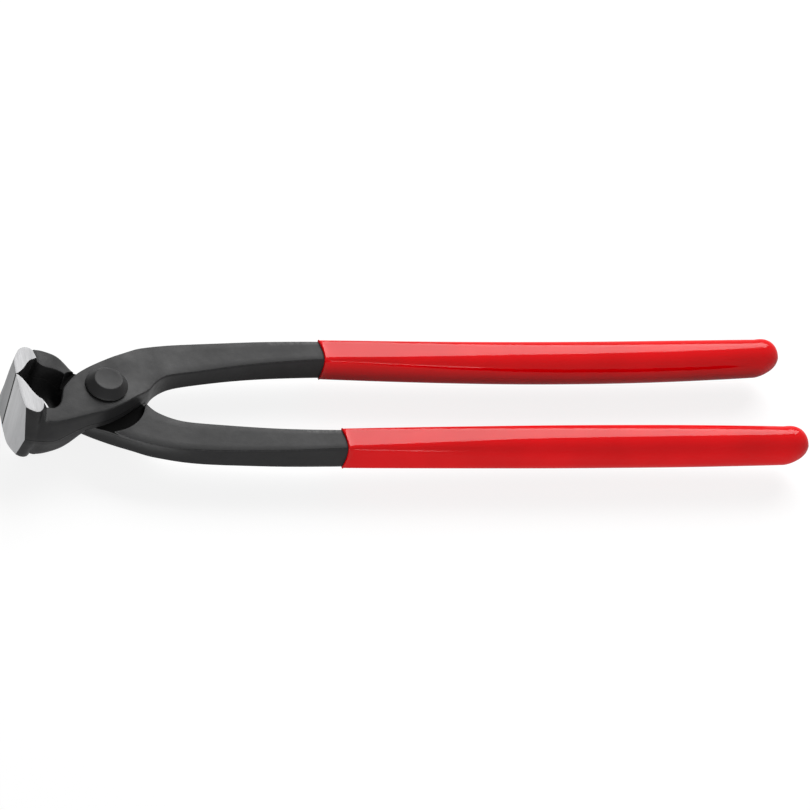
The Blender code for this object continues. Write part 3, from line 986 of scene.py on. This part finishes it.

# %% [markdown]
# ## Marks that keep to one place
# Some marks belong to one spot of the tool: painted shade on the recess floor in the gap between the
# lap plates, a painted shadow on the line where the cutting edges meet, painted shade in the throat
# behind the jaws, which sees little light, and the parting line, the low seam that two dies leave round
# an arm.
# They could be painted on by hand. Here each is a mask worked out from a point's own place on the
# piece, so it stays there when the tool opens, and a little noise makes its edge wander.

# %% Group for painted shade and a painted shadow
recess_shade_reach = 0.32 * mm
gap_shadow_reach = 0.55 * mm
mask_fade = 0.12 * mm
shade_wander = 0.35 * mm
recess_shade_rim = (recess_radius + 0.15 * mm, recess_radius + 0.30 * mm)
jaw_fade = (-jaw_reach + 1.5 * mm, -jaw_reach + 4.0 * mm)
lap_fade = (-16.0 * mm, -11.0 * mm)


def near_plane(tree, height, middle, reach, fade):
    """One within a reach of a height, fading to nought."""
    away = math_node(tree, "ABSOLUTE", minus(tree, height, middle))
    return remap(tree, away, reach, reach + fade, 1.0, 0.0)


dark_places, given, result = new_group("dark_places", {"Vector": None, "Normal": None, "Side": 1.0},
                                       ("Recess Shade Mask", "Gap Shadow Mask", "Throat Shade Mask"))
tree = dark_places
x, y, z = split_axes(tree, given["Vector"])
shade_noise = noise(tree, given["Vector"], scale=500.0, detail=3.0)
wander = times(tree, minus(tree, shade_noise, 0.5), shade_wander)
# painted shade on the surfaces near the joint's plane inside the recess rim
between_laps = near_plane(tree, plus(tree, z, wander), joint_height, recess_shade_reach, mask_fade)
flat_place = add_node(tree, "ShaderNodeCombineXYZ", {"X": x, "Y": y}).outputs[0]
length = add_node(tree, "ShaderNodeVectorMath", {0: flat_place}, operation="LENGTH")
inside = remap(tree, plus(tree, length.outputs["Value"], wander), *recess_shade_rim, 1.0, 0.0)
link(times(tree, between_laps, inside), result["Recess Shade Mask"])
# painted shadow along the gap where the cutting edges meet
gap_shadow_mask = near_plane(tree, plus(tree, y, times(tree, wander, 0.3)), closing_line_y, gap_shadow_reach,
                       mask_fade)
link(gap_shadow_mask, result["Gap Shadow Mask"])
# painted shade on the throat's walls that face in, behind the jaws
facing = split_axes(tree, given["Normal"])["Y"]
inwards = remap(tree, times(tree, facing, given["Side"]), 0.05, 0.45, 0.0, 1.0)
on_jaw = remap(tree, x, *jaw_fade, 0.0, 1.0)
off_lap = remap(tree, x, *lap_fade, 1.0, 0.0)
link(times(tree, inwards, times(tree, on_jaw, off_lap)), result["Throat Shade Mask"])

# %% Group for the parting line
seam_rise = (-20.0 * mm, -6.0 * mm, -crease_drop, 2.2 * mm)
seam_wander = 0.8 * mm
seam_reach = 0.14 * mm
seam_fade = 0.26 * mm
seam_end = (6.0 * mm, 16.0 * mm)
parting_line, given, result = new_group("parting_line", {"Vector": None, "Side": 1.0}, ("Mask",))
tree = parting_line
x, y, z = split_axes(tree, given["Vector"])
above_joint = times(tree, given["Side"], minus(tree, z, joint_height))
seam_height = add_node(tree, "ShaderNodeMapRange", {0: x, **dict(enumerate(seam_rise, 1))},
                       interpolation_type="SMOOTHSTEP").outputs[0]
flash = noise(tree, given["Vector"], scale=260.0, detail=3.0)
wander = times(tree, minus(tree, flash, 0.5), seam_wander)
seam = near_plane(tree, plus(tree, above_joint, wander), seam_height, seam_reach, seam_fade)
kept = times(tree, remap(tree, x, *seam_end, 1.0, 0.0), math_node(tree, "ABSOLUTE", given["Side"]))
link(times(tree, seam, kept), result["Mask"])

# %% [markdown]
# ## The finishes
# Blackened steel is nearly black with a soft sheen, so its colour stays dark, its roughness wanders and
# fine bump breaks the reflection. Worn edges show the brighter metal, brightened further by a painted
# highlight, the parting line stands up a little, and painted shade makes the recess, the throat and the
# cutting gap darker still. The ground faces are bare metal with streaks along the wheel's path, and
# beyond the closing line a painted shade darkens them with the depth. The dip is a smooth glossy
# plastic: a saturated red under a thin clear coat.

# %% Blackened forged steel
# near black: painted shade in the recess, the throat and the cutting gap, and the parting line's own
# dark seam
shade_and_seam_black = (0.0035, 0.0035, 0.0035, 1)
forged_dark, forged_light = (0.0140, 0.0140, 0.0145, 1), (0.0190, 0.0190, 0.0195, 1)
rivet_dark, rivet_light = (0.0170, 0.0170, 0.0175, 1), (0.0220, 0.0220, 0.0225, 1)
# edge colours: real wear with a painted highlight; the rivet's brighter one is mostly a painted
# highlight on its rim
forging_wear_and_highlight, rivet_wear_and_highlight = (0.09, 0.09, 0.09, 1), (0.34, 0.34, 0.34, 1)
throat_shade_strength = 0.6
seam_darkness = 0.85
seam_relief = 1.2
painted_shade_roughness = 0.95


def bump(tree, height, strength, distance):
    return add_node(tree, "ShaderNodeBump", {"Height": height, "Strength": strength,
                                             "Distance": distance}).outputs["Normal"]


def blackened_steel(name, dark, light, wear_and_highlight_color, roughness, wear_and_highlight_amount, pit_scale, side):
    made, tree, shader = new_material(name)
    coordinates = tree.nodes.new("ShaderNodeTexCoord").outputs
    place = coordinates["Object"]
    skin = use_group(tree, forged_skin, {"Vector": place, "Pit Scale": pit_scale})
    edge = use_group(tree, edge_wear_and_highlight, {"Vector": place, "Amount": wear_and_highlight_amount})["Mask"]
    hidden = use_group(tree, dark_places, {"Vector": place, "Normal": coordinates["Normal"],
                                           "Side": side})
    # painted shade in the throat, at part strength
    throat_shade = times(tree, hidden["Throat Shade Mask"], throat_shade_strength)
    # painted shade: the recess and the throat turn near black and matt
    painted_shade = math_node(tree, "MAXIMUM", hidden["Recess Shade Mask"], throat_shade)
    parting = use_group(tree, parting_line, {"Vector": place, "Side": side})["Mask"]
    base = mix_colors(tree, skin["Shade"], dark, light)
    base = mix_colors(tree, times(tree, parting, seam_darkness), base, shade_and_seam_black)
    # worn edges: real wear and a painted highlight
    worn = mix_colors(tree, edge, base, wear_and_highlight_color)
    link(mix_colors(tree, painted_shade, worn, shade_and_seam_black), shader["Base Color"])
    soft = remap(tree, skin["Shade"], 0.0, 1.0, roughness + 0.06, roughness - 0.05)
    link(mix_values(tree, painted_shade, soft, painted_shade_roughness), shader["Roughness"])
    relief = plus(tree, skin["Height"], times(tree, parting, seam_relief))
    link(bump(tree, relief, 0.35, 0.12 * mm), shader["Normal"])
    shader["Specular IOR Level"].default_value = 0.115
    return made


upper_black, lower_black = (
    blackened_steel(name, forged_dark, forged_light, forging_wear_and_highlight, roughness=0.42, wear_and_highlight_amount=0.8,
                    pit_scale=1700.0, side=side)
    for name, side in (("upper_forged_black", 1.0), ("lower_forged_black", -1.0)))
rivet_black = blackened_steel("rivet_black", rivet_dark, rivet_light, rivet_wear_and_highlight, roughness=0.38,
                              wear_and_highlight_amount=1.0, pit_scale=2600.0, side=0.0)

# %% Ground jaw steel
near_colors = ((0.34, 0.342, 0.348, 1), (0.42, 0.422, 0.430, 1))
end_colors = ((0.30, 0.30, 0.305, 1), (0.36, 0.36, 0.365, 1))
# painted shade: past the closing line the front face darkens where it curves away from the light
falloff_shade_colors = ((0.23, 0.232, 0.236, 1), (0.15, 0.152, 0.156, 1))
falloff_shade_reach = 7.0 * mm
front_roughness, end_roughness = 0.50, 0.78
front_streaks = (3400.0, 3400.0, 120.0)
end_streaks = (3400.0, 160.0, 3400.0)
ground_steel, tree, shader = new_material("ground_steel")
place = tree.nodes.new("ShaderNodeTexCoord").outputs["Object"]
x, y, z = split_axes(tree, place)
from_middle = math_node(tree, "ABSOLUTE", minus(tree, z, joint_height))
on_end = math_node(tree, "GREATER_THAN", from_middle, jaw_width / 2 - 0.15 * mm)
front, end = (
    use_group(tree, grinding_marks, {"Vector": add_node(
        tree, "ShaderNodeMapping", {"Vector": place, "Scale": stretch}).outputs[0]})
    for stretch in (front_streaks, end_streaks))
marks_shade = mix_values(tree, on_end, front["Shade"], end["Shade"])
marks_height = mix_values(tree, on_end, front["Height"], end["Height"])
# painted shade grows with the depth beyond the closing line
falloff_shade = remap(tree, y, closing_line_y, closing_line_y + falloff_shade_reach, 0.0, 1.0)
front_color = mix_colors(tree, math_node(tree, "GREATER_THAN", falloff_shade, 0.0),
                         mix_colors(tree, marks_shade, *near_colors),
                         mix_colors(tree, falloff_shade, *falloff_shade_colors))
# a painted shadow darkens the line where the cutting edges meet
gap_shadow = use_group(tree, dark_places, {"Vector": place})["Gap Shadow Mask"]
front_color = mix_colors(tree, gap_shadow, front_color, shade_and_seam_black)
end_color = mix_colors(tree, marks_shade, *end_colors)
link(mix_colors(tree, on_end, front_color, end_color), shader["Base Color"])
satin = mix_values(tree, on_end, front_roughness, end_roughness)
link(minus(tree, satin, times(tree, marks_shade, 0.10)), shader["Roughness"])
link(bump(tree, marks_height, 0.25, 0.04 * mm), shader["Normal"])
shader["Metallic"].default_value = 1.0

# %% Red dip
dip_dark, dip_light = (0.72, 0.0, 0.002, 1), (0.80, 0.0, 0.003, 1)
red_dip, tree, shader = new_material("red_dip_gloss")
place = tree.nodes.new("ShaderNodeTexCoord").outputs["Object"]
cloud = remap(tree, noise(tree, place, scale=45.0, detail=2.0), 0.35, 0.65, 0.0, 1.0)
ripple = noise(tree, place, scale=60.0, detail=1.0)
grain = noise(tree, place, scale=1500.0, detail=2.0)
link(mix_colors(tree, cloud, dip_dark, dip_light), shader["Base Color"])
link(remap(tree, grain, 0.3, 0.7, 0.34, 0.44), shader["Roughness"])
link(bump(tree, mix_values(tree, 0.04, ripple, grain), 0.25, 0.3 * mm), shader["Normal"])
shader["Specular IOR Level"].default_value = 0.0
shader["Coat Weight"].default_value = 0.28
shader["Coat Roughness"].default_value = 0.05
shader["Coat IOR"].default_value = 1.5

# %% Give each piece its finish
for forging, black in ((upper_forging, upper_black), (lower_forging, lower_black)):
    forging.data.materials[0] = black
    forging.data.materials[1] = ground_steel
rivet.data.materials.append(rivet_black)
for sleeve in (upper_sleeve, lower_sleeve):
    sleeve.data.materials.append(red_dip)
for piece in (upper_forging, lower_forging, rivet, upper_sleeve, lower_sleeve):
    print(piece.name, "wears", [worn.name for worn in piece.data.materials])
